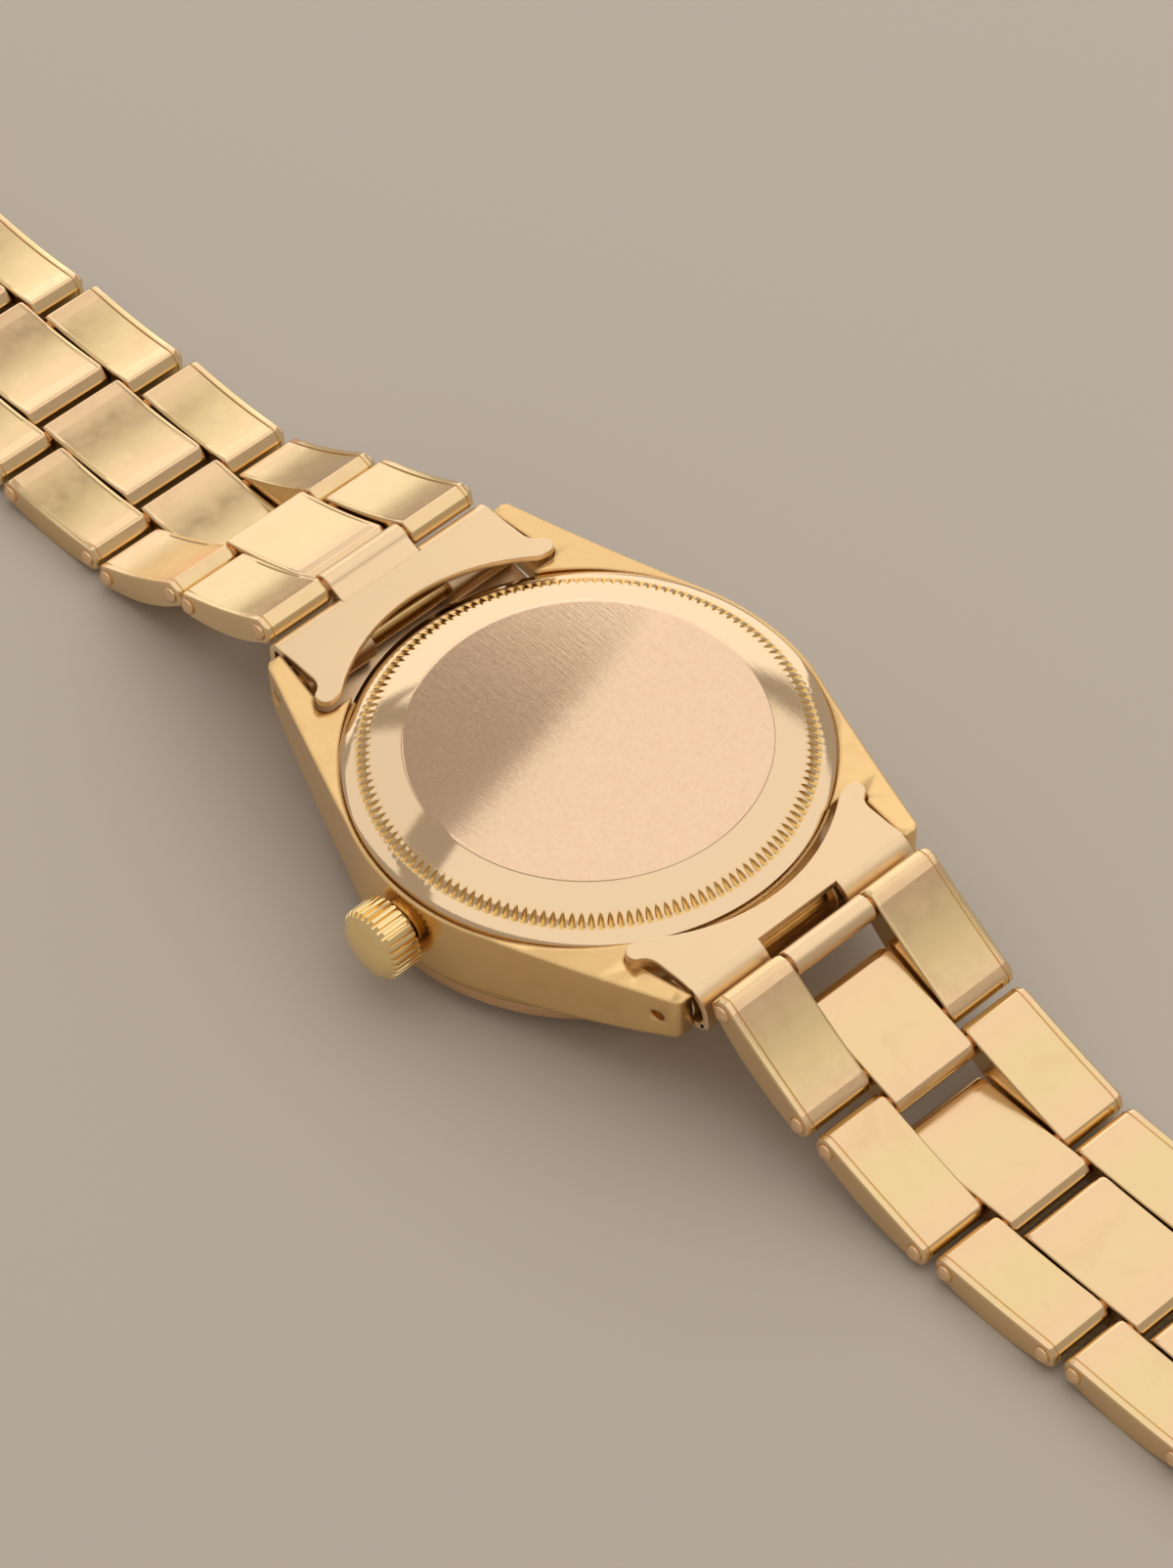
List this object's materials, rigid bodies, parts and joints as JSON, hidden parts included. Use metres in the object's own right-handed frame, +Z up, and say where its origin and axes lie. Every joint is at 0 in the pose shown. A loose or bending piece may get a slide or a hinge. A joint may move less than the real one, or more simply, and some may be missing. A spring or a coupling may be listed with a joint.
{
  "type": "wristwatch",
  "caption": "Round gold wristwatch on a folded riveted link bracelet, lying face down with its bracelet undone.",
  "frame": {"origin": "centre of the flat ground on the crystal, on the surface the watch lies on", "axes": "+Z up, along the case axis from the crystal to the case back; +Y towards the 12 o'clock strap; the crown points along -X"},
  "size_m": [0.0379, 0.1928, 0.0113],
  "materials": {
    "gold": "polished and worn 18 carat gold",
    "satin_gold": "satin 18 carat gold",
    "acrylic": "clear polished acrylic",
    "nylon": "smooth white nylon",
    "rubber": "smooth black rubber",
    "steel": "turned steel",
    "dial": "satin cream lacquer",
    "plated_brass": "rhodium plated brass",
    "balance_alloy": "polished balance alloy"
  },
  "bodies": {
    "head": {"mid_case": "gold", "bezel": "gold", "crystal": "acrylic", "crystal_gasket": "nylon", "case_back": "satin_gold", "case_back_gasket": "rubber", "crown_tube": "gold", "dial": "dial", "hour_markers": "gold", "mainplate": "plated_brass", "train_bridge": "plated_brass", "balance_cock": "plated_brass", "movement_ring": "plated_brass", "end_link_12": "gold", "end_link_6": "gold", "spring_bars": "steel"},
    "setting_lever": {"setting_lever": "steel"},
    "crown": {"crown": "gold", "winding_stem": "steel"},
    "hour_hand": {"hour_hand": "gold"},
    "minute_hand": {"minute_hand": "gold"},
    "seconds_hand": {"seconds_hand": "gold"},
    "rotor": {"rotor": "plated_brass"},
    "balance_wheel": {"balance_wheel": "balance_alloy"},
    "outer_links_12_1": {"outer_links_12_1": "gold", "rivets_12_1": "gold"},
    "centre_link_12_1": {"centre_link_12_1": "gold"},
    "outer_links_12_2": {"outer_links_12_2": "gold", "rivets_12_2": "gold"},
    "centre_link_12_2": {"centre_link_12_2": "gold"},
    "outer_links_12_3": {"outer_links_12_3": "gold", "rivets_12_3": "gold"},
    "centre_link_12_3": {"centre_link_12_3": "gold"},
    "outer_links_12_4": {"outer_links_12_4": "gold", "rivets_12_4": "gold"},
    "centre_link_12_4": {"centre_link_12_4": "gold"},
    "outer_links_12_5": {"outer_links_12_5": "gold", "rivets_12_5": "gold"},
    "centre_link_12_5": {"centre_link_12_5": "gold"},
    "outer_links_6_1": {"outer_links_6_1": "gold", "rivets_6_1": "gold"},
    "centre_link_6_1": {"centre_link_6_1": "gold"},
    "outer_links_6_2": {"outer_links_6_2": "gold", "rivets_6_2": "gold"},
    "centre_link_6_2": {"centre_link_6_2": "gold"},
    "outer_links_6_3": {"outer_links_6_3": "gold", "rivets_6_3": "gold"},
    "centre_link_6_3": {"centre_link_6_3": "gold"},
    "outer_links_6_4": {"outer_links_6_4": "gold", "rivets_6_4": "gold"},
    "centre_link_6_4": {"centre_link_6_4": "gold"},
    "outer_links_6_5": {"outer_links_6_5": "gold", "rivets_6_5": "gold"},
    "centre_link_6_5": {"centre_link_6_5": "gold"},
    "clasp_inner_blade": {"clasp_end_pin": "gold", "clasp_inner_blade": "gold", "clasp_hinge_pins": "steel"},
    "clasp_middle_blade": {"clasp_middle_blade": "gold"},
    "clasp_cover": {"clasp_cover": "satin_gold"}
  },
  "joints": [
    {"name": "crown_pull", "type": "slide", "parent": "head", "child": "setting_lever", "axis": [-1, 0, 0], "range_m": [0, 0.0012]},
    {"name": "crown_turn", "type": "hinge", "parent": "setting_lever", "child": "crown", "pos_m": [-0.018, 0, 0.0055], "axis": [-1, 0, 0], "continuous": true},
    {"name": "minute_hand_turn", "type": "hinge", "parent": "head", "child": "minute_hand", "pos_m": [0, 0, 0.003], "axis": [0, 0, -1], "continuous": true},
    {"name": "hour_hand_turn", "type": "hinge", "parent": "head", "child": "hour_hand", "pos_m": [0, 0, 0.003], "axis": [0, 0, -1], "continuous": true},
    {"name": "seconds_hand_turn", "type": "hinge", "parent": "head", "child": "seconds_hand", "pos_m": [0, 0, 0.003], "axis": [0, 0, -1], "continuous": true},
    {"name": "rotor_turn", "type": "hinge", "parent": "head", "child": "rotor", "pos_m": [0, 0, 0.0083], "axis": [0, 0, 1], "continuous": true},
    {"name": "balance_swing", "type": "hinge", "parent": "head", "child": "balance_wheel", "pos_m": [0.0025, -0.0064, 0.007], "axis": [0, 0, 1], "range_deg": [-270, 270], "stiffness_Nm_per_rad": 0.00001},
    {"name": "upper_hinge_12_1", "type": "hinge", "parent": "head", "child": "outer_links_12_1", "pos_m": [0, 0.02305, 0.0103], "axis": [1, 0, 0], "range_deg": [-6, 18]},
    {"name": "lower_hinge_12_1", "type": "hinge", "parent": "outer_links_12_1", "child": "centre_link_12_1", "pos_m": [0, 0.03093, 0.00662], "axis": [1, 0, 0], "range_deg": [-6, 18]},
    {"name": "upper_hinge_12_2", "type": "hinge", "parent": "centre_link_12_1", "child": "outer_links_12_2", "pos_m": [0, 0.03328, 0.00577], "axis": [1, 0, 0], "range_deg": [-6, 18]},
    {"name": "lower_hinge_12_2", "type": "hinge", "parent": "outer_links_12_2", "child": "centre_link_12_2", "pos_m": [0, 0.04087, 0.0015], "axis": [1, 0, 0], "range_deg": [-6, 18]},
    {"name": "upper_hinge_12_3", "type": "hinge", "parent": "centre_link_12_2", "child": "outer_links_12_3", "pos_m": [0, 0.04337, 0.0015], "axis": [1, 0, 0], "range_deg": [-6, 18]},
    {"name": "lower_hinge_12_3", "type": "hinge", "parent": "outer_links_12_3", "child": "centre_link_12_3", "pos_m": [0, 0.05207, 0.0015], "axis": [1, 0, 0], "range_deg": [-6, 18]},
    {"name": "upper_hinge_12_4", "type": "hinge", "parent": "centre_link_12_3", "child": "outer_links_12_4", "pos_m": [0, 0.05457, 0.0015], "axis": [1, 0, 0], "range_deg": [-6, 18]},
    {"name": "lower_hinge_12_4", "type": "hinge", "parent": "outer_links_12_4", "child": "centre_link_12_4", "pos_m": [0, 0.06327, 0.0015], "axis": [1, 0, 0], "range_deg": [-6, 18]},
    {"name": "upper_hinge_12_5", "type": "hinge", "parent": "centre_link_12_4", "child": "outer_links_12_5", "pos_m": [0, 0.06577, 0.0015], "axis": [1, 0, 0], "range_deg": [-6, 18]},
    {"name": "lower_hinge_12_5", "type": "hinge", "parent": "outer_links_12_5", "child": "centre_link_12_5", "pos_m": [0, 0.07447, 0.0015], "axis": [1, 0, 0], "range_deg": [-6, 18]},
    {"name": "upper_hinge_6_1", "type": "hinge", "parent": "head", "child": "outer_links_6_1", "pos_m": [0, -0.02305, 0.0103], "axis": [1, 0, 0], "range_deg": [-20, 6]},
    {"name": "lower_hinge_6_1", "type": "hinge", "parent": "outer_links_6_1", "child": "centre_link_6_1", "pos_m": [0, -0.03009, 0.00519], "axis": [1, 0, 0], "range_deg": [-20, 6]},
    {"name": "upper_hinge_6_2", "type": "hinge", "parent": "centre_link_6_1", "child": "outer_links_6_2", "pos_m": [0, -0.03244, 0.00433], "axis": [1, 0, 0], "range_deg": [-20, 6]},
    {"name": "lower_hinge_6_2", "type": "hinge", "parent": "outer_links_6_2", "child": "centre_link_6_2", "pos_m": [0, -0.04066, 0.0015], "axis": [1, 0, 0], "range_deg": [-20, 6]},
    {"name": "upper_hinge_6_3", "type": "hinge", "parent": "centre_link_6_2", "child": "outer_links_6_3", "pos_m": [0, -0.04316, 0.0015], "axis": [1, 0, 0], "range_deg": [-20, 6]},
    {"name": "lower_hinge_6_3", "type": "hinge", "parent": "outer_links_6_3", "child": "centre_link_6_3", "pos_m": [0, -0.05186, 0.0015], "axis": [1, 0, 0], "range_deg": [-20, 6]},
    {"name": "upper_hinge_6_4", "type": "hinge", "parent": "centre_link_6_3", "child": "outer_links_6_4", "pos_m": [0, -0.05436, 0.0015], "axis": [1, 0, 0], "range_deg": [-20, 6]},
    {"name": "lower_hinge_6_4", "type": "hinge", "parent": "outer_links_6_4", "child": "centre_link_6_4", "pos_m": [0, -0.06306, 0.0015], "axis": [1, 0, 0], "range_deg": [-20, 6]},
    {"name": "upper_hinge_6_5", "type": "hinge", "parent": "centre_link_6_4", "child": "outer_links_6_5", "pos_m": [0, -0.06556, 0.0015], "axis": [1, 0, 0], "range_deg": [-20, 6]},
    {"name": "lower_hinge_6_5", "type": "hinge", "parent": "outer_links_6_5", "child": "centre_link_6_5", "pos_m": [0, -0.07426, 0.0015], "axis": [1, 0, 0], "range_deg": [-20, 6]},
    {"name": "clasp_end_hinge", "type": "hinge", "parent": "centre_link_12_5", "child": "clasp_inner_blade", "pos_m": [0, 0.07697, 0.0015], "axis": [1, 0, 0], "range_deg": [-6, 18]},
    {"name": "clasp_blade_hinge", "type": "hinge", "parent": "clasp_inner_blade", "child": "clasp_middle_blade", "pos_m": [0, 0.10897, 0.00193], "axis": [1, 0, 0], "range_deg": [0, 165]},
    {"name": "clasp_cover_hinge", "type": "hinge", "parent": "clasp_middle_blade", "child": "clasp_cover", "pos_m": [0, 0.08297, 0.0014], "axis": [1, 0, 0], "range_deg": [-100, 0]}
  ],
  "couplings": [
    {"joint": "hour_hand_turn", "follows": "minute_hand_turn", "ratio": 0.083333}
  ]
}
